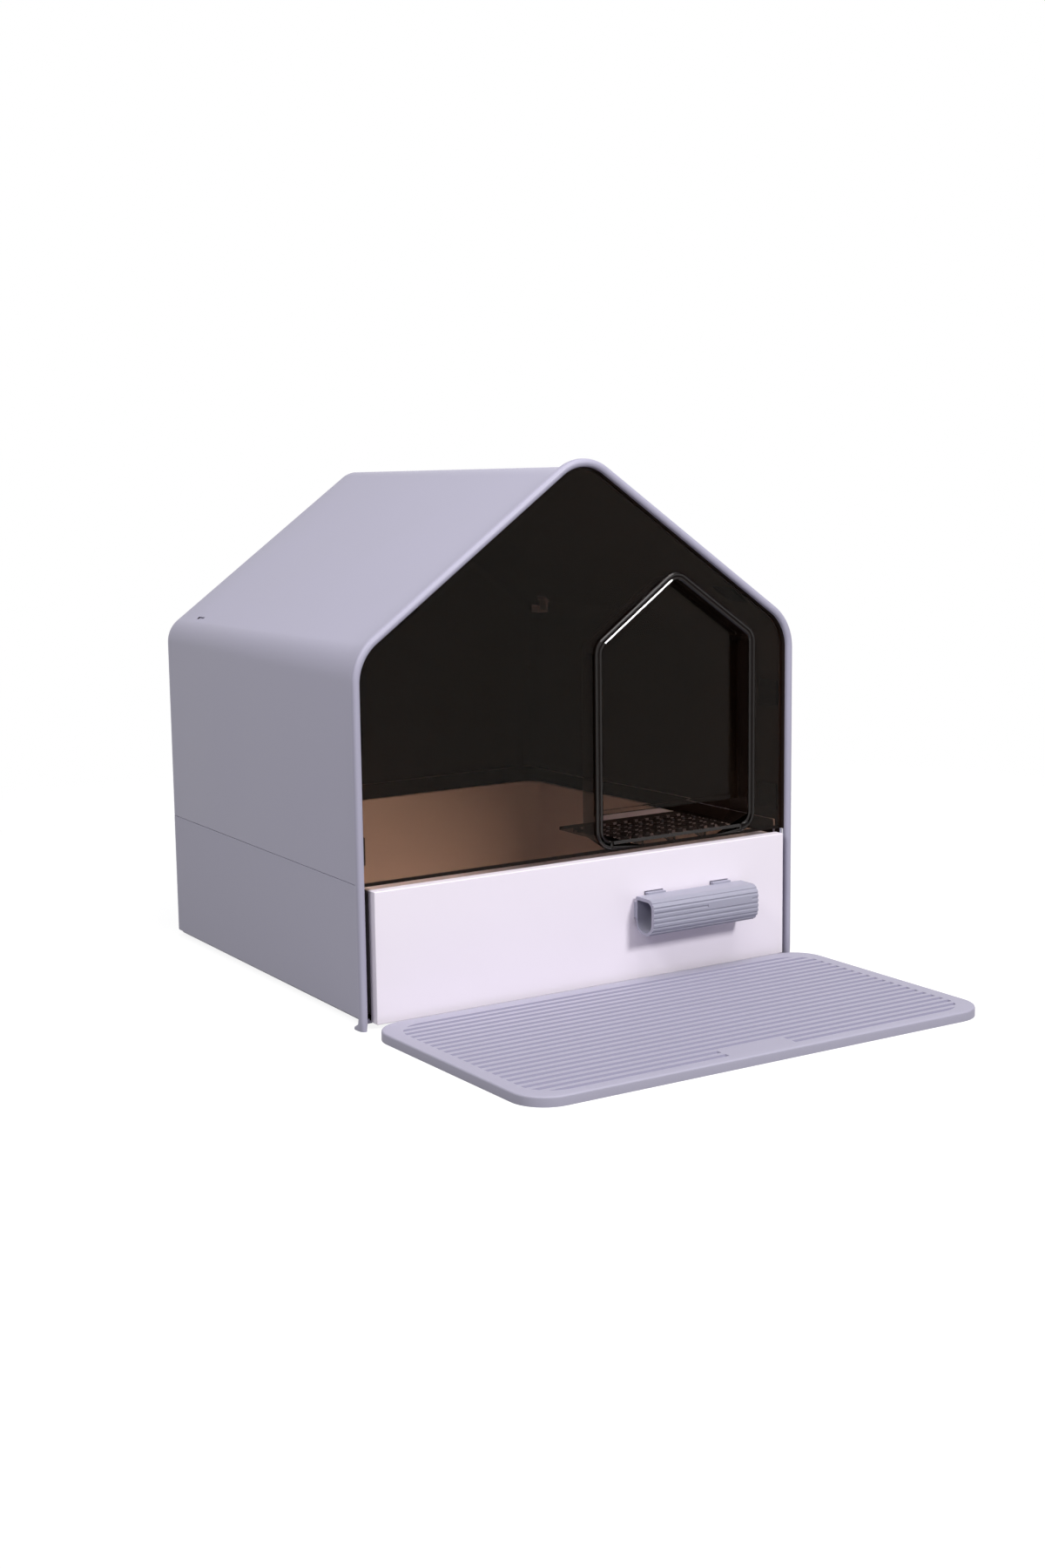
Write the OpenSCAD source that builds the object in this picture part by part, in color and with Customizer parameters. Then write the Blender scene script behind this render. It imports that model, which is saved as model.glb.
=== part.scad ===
// House-shaped litter box: a gabled hood with a smoked front window and swing
// flap stands over a low base that holds a white litter drawer; a ribbed mat
// lies in front of it. Millimetres, +Z up, the front faces -Y, and the origin is
// on the floor under the middle of the whole set.

/* [Shell] */
// Outer width of the shell at its mouth
shell_w = 440; // [420:1:460]
// Depth from the face of the front rim to the back of the shell
shell_d = 413; // [390:1:430]
// Height at the mouth where the two roof planes would meet
ridge_z = 463; // [450:1:480]
// Slope of the roof in degrees
roof_angle = 35.3; // [33:0.1:37]
// Radius of the rounded ridge
ridge_r = 35; // [25:1:45]
// Radius of the rounded eaves
eave_r = 40; // [25:1:45]
// Draft of the shell in degrees: it narrows towards the back
draft_angle = 2; // [1:0.1:2.5]
// Wall thickness of the hood and the base
wall = 2.5; // [2:0.1:3]
// Radius of the shell's upright back edges
back_r = 10; // [6:1:14]
// Height of the seam between base and hood
seam_z = 119.5; // [115:0.5:125]
// Height of the lower edge of the base walls
skirt_z = 7; // [5:0.5:9]

/* [Front frame] */
// How far the rim stands out from the shell
rim_step = 6.5; // [4:0.5:8]
// Width of the rounded bead on the face of the rim
bead_w = 7; // [6:0.5:8]
// Depth of the rim
rim_d = 6.5; // [5:0.5:8]
// How far the rim laps over the hood's mouth
rim_lap = 2.5; // [1.5:0.5:3]
// Size of the pad under each leg: width, depth, thickness
leg_pad = [9, 14, 3];

/* [Window and doorway] */
// Thickness of the smoked plastic
window_t = 3; // [2.5:0.5:4]
// Distance of the doorway's centre line from the middle plane
door_x = 99; // [90:1:105]
// Clear width of the doorway
door_w = 160; // [140:1:170]
// Height where the doorway's two slopes would meet
door_top = 356; // [340:1:360]
// Height of the doorway's sill
door_sill = 130; // [128:1:135]
// Radius of the doorway's corners
door_r = 10; // [6:0.5:10]
// Width of the bead round the doorway
door_bead = 7; // [5:0.5:9]
// Depth of the tunnel behind the window
tunnel_d = 28; // [24:1:32]
// Wall thickness of the tunnel
tunnel_t = 2.5; // [2:0.1:3]
// Length of each snap tab on the window's edge
snap_len = 23; // [18:1:26]
// Distance of the snap tabs' ends behind the face of the rim
snap_reach = 36; // [30:1:40]
// Heights of the snap tabs on the upright sides
snap_heights = [149, 244];
// Distance from the middle plane of the snap tab on each slope
snap_slope_x = 173; // [150:0.5:180]

/* [Flap] */
// Thickness of the flap
flap_t = 2.4; // [2:0.1:3]
// Gap between the flap and the tunnel
flap_gap = 1.5; // [1:0.1:2.5]
// Height of the flap's lower edge
flap_low = 151; // [145:1:155]
// Height of the hinge line
hinge_z = 297; // [286:1:297]
// Distance of the hinge line behind the face of the rim
hinge_y = 20; // [18:0.5:22]
// Radius of the hinge pins
pin_r = 2.5; // [2:0.1:3]
// Running clearance round the pins
pin_clear = 0.06; // [0.02:0.01:0.1]

/* [Sill grate] */
// Half width of the grate
grate_half = 69.6; // [66:0.2:69.6]
// Distance of the grate's back edge behind the face of the rim
grate_back = 90; // [80:1:95]
// Thickness of the grate
grate_t = 3; // [2.5:0.5:4]
// Number of slots in a row and number of rows
grate_slots = [11, 4];
// Distance between slots: across and front to back
grate_pitch = [12, 17];
// Size of a slot: width and length
grate_slot = [8, 12];

/* [Drawer] */
// Half width of the drawer front
drawer_half = 213.4; // [211:0.2:214]
// Lower and upper edge of the drawer front
drawer_front_z = [5, 117];
// Front and back plane of the drawer front, behind the face of the rim
drawer_front_y = [-3, 8];
// Lower and upper edge of the tray
tray_z = [8.3, 115.5];
// Distance of the tray's back behind the face of the rim
tray_back = 392; // [380:1:396]
// Half width of the tray at its front and at its back
tray_half = [211, 197.5];
// Radius of the tray's upright back corners
tray_r = 24; // [16:1:30]

/* [Pull] */
// Left and right end of the pull
pull_x = [46, 161];
// Lower and upper edge of the pull
pull_z = [47.5, 80.6];
// How far the back and the front of the pull stand out from the drawer front
pull_out = [3, 30];
// Thickness of the pull's back, top, front and bottom
pull_t = [2, 3, 4, 2.5];
// Radius of the pull's upper front edge and of its two lower edges
pull_r = [9, 12];
// Distance between the grooves on the pull
pull_pitch = 4.4; // [4:0.1:4.8]
// Radius and depth of a groove on the pull
pull_groove = [1.2, 0.8];
// Ends of the blank plate on the pull
pull_plate = [105, 154];
// Middles of the two hook tabs
tab_x = [67.5, 139.5];
// Width and thickness of a hook tab
tab_size = [19, 2];

/* [Mat] */
// Width of the mat
mat_w = 454; // [430:1:454]
// Back and front edge of the mat, ahead of the face of the rim
mat_y = [11.5, 259];
// Thickness of the mat
mat_t = 8.3; // [7:0.1:9]
// Radius of the mat's corners
mat_r = 30; // [20:1:40]
// Width of the smooth border beside the ribs
mat_border = 13; // [8:1:16]
// Number of grooves
mat_grooves = 22; // [18:1:24]
// Middle of the first and last groove, ahead of the face of the rim
mat_rows = [29.3, 245.3];
// Width and depth of a groove
mat_groove = [4.8, 1.6];
// Ends of the blank plate, which two grooves near the front edge stop at
mat_plate = [-38, 28];

/* [Hidden] */

gap = 0.3;                  // air between pieces that come apart
eps = 0.01;
arc_steps = 8;
front_y = (mat_y[1] - shell_d) / 2;   // the rim's face in the part's frame
half_w = shell_w / 2;
hood_y = rim_d - rim_lap;             // where the hood's mouth begins
window_y = rim_d + gap;
window_low = seam_z + 0.4;
seat_inset = 1.2;                     // the rebate in the hood's mouth that the window sits in
seat_y = window_y + window_t + gap;
tunnel_y = [window_y - gap - 3, window_y + tunnel_d - 2];

lilac = [0.62, 0.61, 0.69];
side_lilac = [0.55, 0.54, 0.60];
white = [0.93, 0.90, 0.94];
smoke = [0.12, 0.10, 0.10, 0.55];
rubber = [0.25, 0.25, 0.27];

// ---------------------------------------------------------------- helpers

function unit(v) = v / norm(v);
function wrap(a) = a > 180 ? a - 360 : (a < -180 ? a + 360 : a);

// Points of an arc of radius r that rounds the corner p between a and b
function corner_arc(a, p, b, r) =
    let (u = unit(a - p), w = unit(b - p), half = acos(u * w) / 2,
         c = p + unit(u + w) * (r / sin(half)),
         s = p + u * (r / tan(half)) - c, e = p + w * (r / tan(half)) - c,
         a0 = atan2(s.y, s.x), turn = wrap(atan2(e.y, e.x) - a0))
    [for (i = [0:arc_steps]) c + r * [cos(a0 + turn * i / arc_steps), sin(a0 + turn * i / arc_steps)]];

// A closed outline whose corners are rounded by the radii given, 0 for a sharp one
function rounded(pts, radii) =
    let (n = len(pts))
    [for (i = [0:n - 1])
        each radii[i] > 0
            ? corner_arc(pts[(i + n - 1) % n], pts[i], pts[(i + 1) % n], radii[i])
            : [pts[i]]];

// A gable outline in X and Z: half width, top before rounding, lower edge, radii
function gable(half, top, low, r_low, r_eave, r_top) =
    let (eave = top - half * tan(roof_angle))
    rounded([[-half, low], [-half, eave], [0, top], [half, eave], [half, low]],
            [r_low, r_eave, r_top, r_eave, r_low]);

// The shell's outline at its mouth, moved inwards by inset
function house(inset, low) =
    gable(half_w - inset, ridge_z - inset / cos(roof_angle), low, 0, eave_r - inset, ridge_r - inset);

// The doorway's outline, moved outwards by grow
function doorway(grow, low = undef) =
    gable(door_w / 2 + grow, door_top + grow / cos(roof_angle),
          is_undef(low) ? door_sill - grow : low, is_undef(low) ? door_r + grow : 0,
          door_r + grow, door_r + grow);

// The plan of the shell in X and Y from y0 back, moved inwards by inset
function plan(y0, inset, r) =
    let (back = shell_d - inset, a = half_w - inset - y0 * tan(draft_angle),
         b = half_w - inset - shell_d * tan(draft_angle))
    rounded([[-a, y0], [a, y0], [b, back], [-b, back]], [0, 0, r, r]);

// Extrudes an outline in X and Z along Y
module along_y(y0, y1) {
    translate([0, y1, 0]) rotate([90, 0, 0]) linear_extrude(y1 - y0) children();
}

module ring(outer, inner) {
    difference() {
        polygon(outer);
        polygon(inner);
    }
}

module at_door() {
    translate([door_x, 0, 0]) children();
}

// Moves a piece that is drawn behind the rim's face into the part's frame
module place() {
    translate([0, front_y, 0]) children();
}

module both_sides() {
    children();
    mirror([1, 0, 0]) children();
}

module x_pin(r, x0, x1) {
    translate([x0, 0, 0]) rotate([0, 90, 0]) cylinder(r = r, h = x1 - x0, $fn = 48);
}

// ------------------------------------------------------------------- hood

module house_slice(y, inset, low) {
    along_y(y, y + eps) polygon(house(inset + y * tan(draft_angle), low));
}

// The tapered, gabled block between two planes, with its back edges rounded
module house_block(y0, y1, inset, r, low) {
    hull() {
        house_slice(y0, inset, low);
        for (a = [0:22.5:90])
            house_slice(y1 - eps - r + r * sin(a), inset + r - r * cos(a), low);
    }
}

// Carries its child to the roof over x: local X points outwards, square to the roof
module on_roof(x, inset) {
    z = ridge_z - inset / cos(roof_angle) - x * tan(roof_angle);
    translate([x, 0, z]) rotate([0, roof_angle - 90, 0]) children();
}

hook_at = [191, 361];       // distance from the middle plane, distance from the rim's face
hook_inset = hook_at[1] * tan(draft_angle);
hook_slot = [3, 12.6];      // the slot through the roof

module hood() {
    color(lilac) place() difference() {
        house_block(hood_y, shell_d, 0, back_r, seam_z + gap);
        house_block(hood_y - 1, shell_d - wall, wall, back_r - wall, seam_z - 1);
        along_y(hood_y - 1, seat_y) polygon(house(seat_inset, seam_z - 1));
        both_sides() on_roof(hook_at[0], hook_inset) translate([-wall - 1, hook_at[1] - hook_slot[1] / 2,
            -hook_slot[0] / 2]) cube([wall + 3, hook_slot[1], hook_slot[0]]);
    }
}

// ------------------------------------------------------------ front frame

module front_frame() {
    pad_edge = half_w + rim_step + 1;
    color(lilac) place() {
        along_y(0, hood_y) ring(house(-rim_step, 0), house(bead_w - rim_step, -1));
        // the rebate behind the bead, in which the hood's mouth sits
        along_y(hood_y, rim_d) ring(house(-rim_step, 0), house(0, -1));
        // behind the rim the pad is narrower, so that it clears the base when the hood is lifted
        both_sides() {
            translate([pad_edge - leg_pad.x, 0, 0]) cube([leg_pad.x, rim_d, leg_pad.z]);
            translate([half_w + gap, 0, 0]) cube([pad_edge - half_w - gap, leg_pad.y, leg_pad.z]);
        }
    }
}

// ------------------------------------------------------ window and doorway

fit_air = 0.2;              // air between the smoked pieces where they plug together
bead_gap = 0.1;             // air between the doorway's bead and the window behind it
boss_r = 6;                 // the boss that a hinge pin turns in
boss_w = 3.5;               // how far the boss stands out from the tunnel's wall
snap_t = 1.7;
snap_inset = wall + snap_reach * tan(draft_angle) + gap;    // outer face of a snap tab

// A snap tab: a tongue on the back of the window, which grips the hood's wall
module snap_tab() {
    root = window_y + window_t - 0.5;
    translate([-snap_inset - snap_t, root, -snap_len / 2]) cube([snap_t, snap_reach - root, snap_len]);
}

module front_window() {
    color(smoke) place() {
        difference() {
            along_y(window_y, window_y + window_t) polygon(house(seat_inset + fit_air, window_low));
            at_door() along_y(window_y - 1, window_y + window_t + 1) {
                polygon(doorway(tunnel_t + fit_air));
                translate([-grate_half - fit_air, door_sill - grate_t - fit_air])
                    square([2 * (grate_half + fit_air), 20]);
            }
        }
        both_sides() {
            for (z = snap_heights) translate([half_w, 0, z]) snap_tab();
            on_roof(snap_slope_x, 0) snap_tab();
        }
    }
}

module door_collar() {
    foot_half = grate_half + fit_air;
    side = door_w / 2;
    color(smoke) place() at_door() difference() {
        union() {
            along_y(tunnel_y[0], tunnel_y[1]) polygon(doorway(tunnel_t));
            along_y(tunnel_y[0], window_y - bead_gap) polygon(doorway(door_bead));
            both_sides() translate([0, hinge_y, hinge_z])
                x_pin(boss_r, side - boss_r, side + tunnel_t + boss_w);
        }
        along_y(tunnel_y[0] - 1, tunnel_y[1] + 1) polygon(doorway(0));
        // the sill is left to the grate
        translate([-foot_half, 0, door_sill - 10]) cube([2 * foot_half, tunnel_y[1] + 1, 10.5]);
        both_sides() translate([0, hinge_y, hinge_z])
            x_pin(pin_r + pin_clear, side - boss_r - 1, side + tunnel_t + boss_w + 1);
    }
}

// A slot with round ends
module slot_outline(size) {
    straight = size.y - size.x;
    translate([-size.x / 2, -straight / 2]) square([size.x, straight]);
    for (y = [-1, 1]) translate([0, y * straight / 2]) circle(r = size.x / 2, $fn = 24);
}

gusset_t = 2.5;
gusset_y = [window_y + window_t + fit_air, 16, 44];   // front edge, back of the foot, back of the top
gusset_low = seam_z + 0.6;

module sill_grate() {
    first_row = tunnel_y[0] + 18;
    low = door_sill - grate_t;
    gusset_step = (grate_half - gusset_t / 2) / 2;
    color(smoke) place() at_door() {
        translate([0, 0, low]) linear_extrude(grate_t) difference() {
            translate([-grate_half, tunnel_y[0]]) square([2 * grate_half, grate_back - tunnel_y[0]]);
            for (i = [0:grate_slots[0] - 1], j = [0:grate_slots[1] - 1])
                translate([(i - (grate_slots[0] - 1) / 2) * grate_pitch.x, first_row + j * grate_pitch.y])
                    slot_outline(grate_slot);
        }
        for (i = [-2:2]) translate([i * gusset_step - gusset_t / 2, 0, 0])
            rotate([90, 0, 90]) linear_extrude(gusset_t)
                polygon([[gusset_y[0], low + 0.5], [gusset_y[2], low + 0.5], [gusset_y[2], low],
                         [gusset_y[1], gusset_low], [gusset_y[0], gusset_low]]);
    }
}

flap_bar = 4;               // height of the thicker bar along the flap's lower edge
pin_x = [door_w / 2 - 9, door_w / 2 + tunnel_t + 2.5];

module door_flap() {
    color(smoke) place() at_door() {
        along_y(hinge_y - flap_t / 2, hinge_y + flap_t / 2) polygon(doorway(-flap_gap, flap_low));
        translate([-door_w / 2 + flap_gap, hinge_y - flap_t, flap_low])
            cube([door_w - 2 * flap_gap, 2 * flap_t, flap_bar]);
        both_sides() translate([0, hinge_y, hinge_z]) x_pin(pin_r, pin_x[0], pin_x[1]);
    }
}

// ------------------------------------------------------------------ hooks

hook_w = 13;
hook_drop = 14;             // from the roof's underside to the underside of the hook
hook_throat = 7;            // clear width behind the upturned tip
hook_tip = 7;               // height of the tip above the hook's underside
hook_t = 2.4;
hook_sunk = 1.2;            // how far the tongue's end lies below the roof's outside
hook_base = 3.6;            // half width of the wedge that bears against the roof

// A clip-in hook under the roof: a tongue in the slot, a wedge, a stem and an upturned tip
module hook() {
    top = ridge_z - (hook_inset + wall) / cos(roof_angle) - hook_at[0] * tan(roof_angle);
    low = top - hook_drop;
    stem = [hook_t / 2, -hook_t / 2];               // outer and inner face of the stem
    tip = stem[1] - hook_throat;                    // inner face of the tip
    on_roof(hook_at[0], hook_inset)
        translate([-wall - 3, hook_at[1] - hook_slot[1] / 2 + gap, -hook_t / 2])
            cube([wall + 3 - hook_sunk, hook_slot[1] - 2 * gap, hook_t]);
    translate([hook_at[0], hook_at[1] + hook_w / 2, 0]) rotate([90, 0, 0]) linear_extrude(hook_w)
        polygon([[-hook_base, top + hook_base * tan(roof_angle) - gap],
                 [hook_base, top - hook_base * tan(roof_angle) - gap],
                 [stem[0], top - 4], [stem[0], low], [tip - hook_t, low], [tip - hook_t, low + hook_tip],
                 [tip, low + hook_tip], [tip, low + hook_t], [stem[1], low + hook_t], [stem[1], top - 4]]);
}

module right_hook() {
    color(lilac) place() hook();
}

module left_hook() {
    color(lilac) place() mirror([1, 0, 0]) hook();
}

// ------------------------------------------------------------------- base

floor_z = [4, 6.5];
floor_y = drawer_front_y[1] + 1;      // front edge of the floor, behind the drawer front
base_y = rim_d + gap;
rail_top = 8;                         // the rails under the tray
rail = [148, 8];                      // distance of a rail from the middle plane, and its width
tongue = [0.6, 2.2];                  // faces of the tongue inside the hood, measured from the wall
tongue_z = [seam_z - 6, seam_z + 8];
tongue_front = window_y + window_t + 4;
pad_r = 11;
pad_at = [[165, 52], [150, 362]];     // front and back foot: distance from the middle, from the rim's face

// A wall with the base's plan between two insets and two heights, open at the front
module base_band(outer, inner, z, front = base_y) {
    translate([0, 0, z[0]]) linear_extrude(z[1] - z[0]) intersection() {
        ring(plan(base_y, outer, back_r - wall), plan(base_y - 1, inner, back_r - inner));
        translate([-half_w, front]) square([shell_w, shell_d]);
    }
}

module base() {
    color(side_lilac) place() difference() {
        union() {
            translate([0, 0, skirt_z]) linear_extrude(seam_z - skirt_z)
                ring(plan(base_y, 0, back_r), plan(base_y - 1, wall, back_r - wall));
            translate([0, 0, floor_z[0]]) linear_extrude(floor_z[1] - floor_z[0])
                polygon(plan(floor_y, wall + 1, back_r - wall));
            base_band(wall - 0.5, wall + 3, [floor_z[1] - 0.5, rail_top], floor_y);
            base_band(wall + tongue[0], wall + tongue[1], tongue_z, tongue_front);
            base_band(wall - 0.5, wall + tongue[1], [tongue_z[0], seam_z - 1], tongue_front);
            both_sides() translate([rail[0], floor_y + 7, floor_z[1] - 0.5])
                cube([rail[1], tray_back - 30, rail_top - floor_z[1] + 0.5]);
        }
        for (at = pad_at) both_sides()
            translate([at[0], at[1], floor_z[0] - 1]) cylinder(r = pad_r, h = 2, $fn = 48);
    }
}

module foot_pads() {
    color(rubber) place() for (at = pad_at) both_sides()
        translate([at[0], at[1], 0]) cylinder(r = pad_r, h = floor_z[0] + 1, $fn = 48);
}

// ----------------------------------------------------------------- drawer

function tray_plan(inset) =
    let (y0 = drawer_front_y[1] + inset)
    rounded([[-tray_half[0] + inset, y0], [tray_half[0] - inset, y0],
             [tray_half[1] - inset, tray_back - inset], [-tray_half[1] + inset, tray_back - inset]],
            [6 - inset, 6 - inset, tray_r - inset, tray_r - inset]);

module drawer_tray() {
    color(white) place() difference() {
        union() {
            translate([0, 0, tray_z[0]]) linear_extrude(tray_z[1] - tray_z[0]) polygon(tray_plan(2));
            translate([0, 0, tray_z[1] - 3]) linear_extrude(3) polygon(tray_plan(0));
        }
        translate([0, 0, tray_z[0] + wall]) linear_extrude(tray_z[1]) polygon(tray_plan(2 + wall));
    }
}

module drawer_front() {
    size = [2 * drawer_half, drawer_front_y[1] - drawer_front_y[0], drawer_front_z[1] - drawer_front_z[0]];
    color(white) place() difference() {
        translate([-drawer_half, drawer_front_y[0], drawer_front_z[0]]) cube(size);
        translate([-drawer_half + wall, drawer_front_y[0] + wall, drawer_front_z[0] + wall])
            cube(size - [2 * wall, 0, 2 * wall]);
        for (x = tab_x) translate([x - tab_size.x / 2 - 0.5, drawer_front_y[0] - 1, tab_z - 0.5])
            cube([tab_size.x + 1, wall + 2, tab_size.y + 1]);
    }
}

tab_z = pull_z[1] - 0.5;    // underside of a tab where it passes through its slot
pull_back = drawer_front_y[0] - pull_out[0];
pull_face = drawer_front_y[0] - pull_out[1];
face_run = pull_z[1] - pull_z[0] - pull_r[0] - pull_r[1];   // the flat height of the pull's face

// The pull's outline in Y and Z, moved inwards by a thickness at its back, top, front and bottom
function pull_outline(t) =
    rounded([[pull_back - t[0], pull_z[1] - t[1]], [pull_face + t[2], pull_z[1] - t[1]],
             [pull_face + t[2], pull_z[0] + t[3]], [pull_back - t[0], pull_z[0] + t[3]]],
            [1.5, pull_r[0] - t[1], pull_r[1] - t[3], pull_r[1] - t[3]]);

// A point in Y and Z outside the pull's skin, at the distance s down from where its flat face begins
function pull_skin(s, out) =
    s < 0 ? [pull_face + pull_r[0], pull_z[1] - pull_r[0]]
            + (pull_r[0] + out) * [-cos(deg(s / pull_r[0])), -sin(deg(s / pull_r[0]))]
    : s < face_run ? [pull_face - out, pull_z[1] - pull_r[0] - s]
    : [pull_face + pull_r[1], pull_z[0] + pull_r[1]]
            + (pull_r[1] + out) * [-cos(deg((s - face_run) / pull_r[1])), -sin(deg((s - face_run) / pull_r[1]))];

function deg(a) = a * 180 / PI;

first_groove = -6.2;        // place of the highest groove on the skin
groove_count = 8;
plate_groove = 2;           // the groove that stops at the blank plate

module pull_grooves() {
    reach = [pull_x[0] - 1, pull_x[1] + 1];
    for (i = [0:groove_count - 1]) {
        at = pull_skin(first_groove + i * pull_pitch, pull_groove[0] - pull_groove[1]);
        translate([0, at.x, at.y])
            if (i == plate_groove) {
                x_pin(pull_groove[0], reach[0], pull_plate[0]);
                x_pin(pull_groove[0], pull_plate[1], reach[1]);
            } else {
                x_pin(pull_groove[0], reach[0], reach[1]);
            }
    }
}

// A hook tab: up from the pull's back, through the slot and down behind the drawer front
module pull_tab() {
    inside = drawer_front_y[0] + wall + 0.8;
    translate([0, pull_back - tab_size.y, pull_z[1] - 1.5])
        cube([tab_size.x, tab_size.y, tab_z + tab_size.y - pull_z[1] + 1.5]);
    translate([0, pull_back - tab_size.y, tab_z]) cube([tab_size.x, inside + 2 * tab_size.y - pull_back, tab_size.y]);
    translate([0, inside, tab_z - 5]) cube([tab_size.x, tab_size.y, 5 + tab_size.y]);
}

spacer_z = [61, 75];        // the strip on the pull's back that bears against the drawer front

module drawer_pull() {
    color(lilac) place() {
        difference() {
            translate([pull_x[0], 0, 0]) rotate([90, 0, 90]) linear_extrude(pull_x[1] - pull_x[0])
                ring(pull_outline([0, 0, 0, 0]), pull_outline(pull_t));
            pull_grooves();
        }
        translate([pull_x[0], pull_back - 0.5, spacer_z[0]])
            cube([pull_x[1] - pull_x[0], pull_out[0] + 0.5, spacer_z[1] - spacer_z[0]]);
        for (x = tab_x) translate([x - tab_size.x / 2, 0, 0]) pull_tab();
    }
}

// -------------------------------------------------------------------- mat

// A rectangle in X and Y with the mat's corners: half width, front edge, back edge
function mat_plan(half, front, back) =
    rounded([[-half, -front], [half, -front], [half, -back], [-half, -back]], [mat_r, mat_r, mat_r, mat_r]);

module floor_mat() {
    step = (mat_rows[1] - mat_rows[0]) / (mat_grooves - 1);
    color(lilac) place() difference() {
        linear_extrude(mat_t) polygon(mat_plan(mat_w / 2, mat_y[1], mat_y[0]));
        translate([0, 0, mat_t - mat_groove.y]) linear_extrude(5) difference() {
            intersection() {
                polygon(mat_plan(mat_w / 2 - mat_border, mat_rows[1] + mat_groove.x / 2,
                                 mat_rows[0] - mat_groove.x / 2));
                for (i = [0:mat_grooves - 1])
                    translate([-mat_w / 2, -mat_rows[0] - i * step - mat_groove.x / 2])
                        square([mat_w, mat_groove.x]);
            }
            translate([mat_plate[0], -mat_rows[1] - step / 2]) square([mat_plate[1] - mat_plate[0], 2 * step]);
        }
    }
}

hood();
front_frame();
front_window();
door_collar();
sill_grate();
door_flap();
left_hook();
right_hook();
base();
foot_pads();
drawer_tray();
drawer_front();
drawer_pull();
floor_mat();
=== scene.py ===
"""House-shaped drawer litter box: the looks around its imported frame, in metres."""

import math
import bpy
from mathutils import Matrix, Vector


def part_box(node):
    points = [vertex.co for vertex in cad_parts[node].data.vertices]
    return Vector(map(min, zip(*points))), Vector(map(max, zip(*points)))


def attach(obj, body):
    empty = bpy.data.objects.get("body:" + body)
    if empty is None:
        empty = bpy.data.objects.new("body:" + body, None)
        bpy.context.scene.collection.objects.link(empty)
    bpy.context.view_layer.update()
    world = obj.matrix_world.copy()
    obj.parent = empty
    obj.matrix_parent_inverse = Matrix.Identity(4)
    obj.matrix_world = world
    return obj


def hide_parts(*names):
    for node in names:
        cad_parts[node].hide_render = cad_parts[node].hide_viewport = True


bl_info = {
    "name": "Drawer litter box",
    "version": (1, 0, 0),
    "blender": (4, 5, 0),
    "location": "3D View > Sidebar > Litter box",
    "description": "Dresses a house-shaped drawer litter box and its mat, piece by piece",
    "category": "Object",
}

import bmesh
import bpy
from mathutils import Matrix, Vector

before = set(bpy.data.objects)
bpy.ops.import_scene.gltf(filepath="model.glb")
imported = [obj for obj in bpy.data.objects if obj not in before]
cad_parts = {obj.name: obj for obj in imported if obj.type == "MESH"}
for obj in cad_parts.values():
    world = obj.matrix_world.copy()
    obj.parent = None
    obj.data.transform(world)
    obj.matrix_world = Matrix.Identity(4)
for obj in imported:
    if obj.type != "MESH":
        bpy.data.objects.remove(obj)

MM = 0.001
SHARP = 30                               # degrees from which an edge counts as sharp
FACE_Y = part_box("front_frame")[0].y      # plane of the rim's face

# the shell, in millimetres from the middle plane, the rim's face and the floor
HALF_WIDTH = 220
ROOF_ANGLE = math.radians(35.3)
RIDGE, EAVE = 463, 463 - HALF_WIDTH * math.tan(ROOF_ANGLE)
DRAFT = math.tan(math.radians(2))
SHELL_DEPTH, WALL = 413, 2.5
BACK_ROUND = 10                          # radius of the upright edges at the back
MOUTH = 4                                # where the hood's wall begins, inside the rim
REBATE = (1.2, 10.1)                     # the window's seat: wall left outside it, and its depth
SEAM = 119.8
SLOT_AT = (191, 361)                     # a hook's slot in the roof
SLOT_SIZE = (3, 12.6)

RIM, RIM_LAP = 6.5, 0.5                  # the rim's depth and height over the shell, and its lap inwards
RIM_CORNERS = (3.3, 3.3, 1.0, 0.3, 0, 0.3)   # radii of its section's corners
# a leg's foot: height, then how far its section is drawn out backwards and sideways
FOOT = ((9, 1.0, 1.0), (5.6, 1.12, 1.0), (3.4, 1.75, 1.02), (2.2, 2.1, 1.02), (0.6, 2.14, 1.03),
        (0, 2.05, 1.0))
FOOT_AIR = (0.3, 0.35)                   # a foot's anchor, and its inner face, outside the shell's wall

DOOR_X = 99                              # the doorway's centre line
BEAD_DEPTH = 4                           # from the bead's face to where its tunnel begins
BEAD_LIP = 0.5                           # flat lip between a chamfer and the groove of the bead
WINDOW_FOOT = 122.6                      # top of the dark lip along the window's lower edge
# planes that part broad faces which have holes or steps, so that they bevel cleanly
WINDOW_CUTS = [("x", DOOR_X), ("x", -173), ("x", 173), ("z", 149), ("z", 244), ("z", WINDOW_FOOT)]
COLLAR_CUTS = [("z", 297)]
GRATE_CUTS = [("x", DOOR_X + 12 * i) for i in range(-5, 6)] \
    + [("x", DOOR_X + 34.175 * i) for i in (-2, -1, 1, 2)]
BASE_CUTS = [("x", -155.2), ("x", 0), ("x", 155.2)]
TRAY_CUTS = [("x", 0)]
FRONT_CUTS = [("x", 0), ("x", 67.5), ("x", 139.5)]
PULL_CUTS = [("x", 67.5), ("x", 139.5), ("z", 63.3)]


def linear(hex_colour):
    """An sRGB hex value such as "#a5a2b5" as linear red, green and blue."""
    parts = (int(hex_colour[i:i + 2], 16) / 255 for i in (1, 3, 5))
    return tuple(c / 12.92 if c <= 0.04045 else ((c + 0.055) / 1.055) ** 2.4 for c in parts)


def length(name, description, default):
    return bpy.props.FloatProperty(name=name, description=description, default=default, unit="LENGTH")


def colour(name, description, hex_colour):
    return bpy.props.FloatVectorProperty(
        name=name, description=description, default=linear(hex_colour), subtype="COLOR", min=0, max=1)


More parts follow.
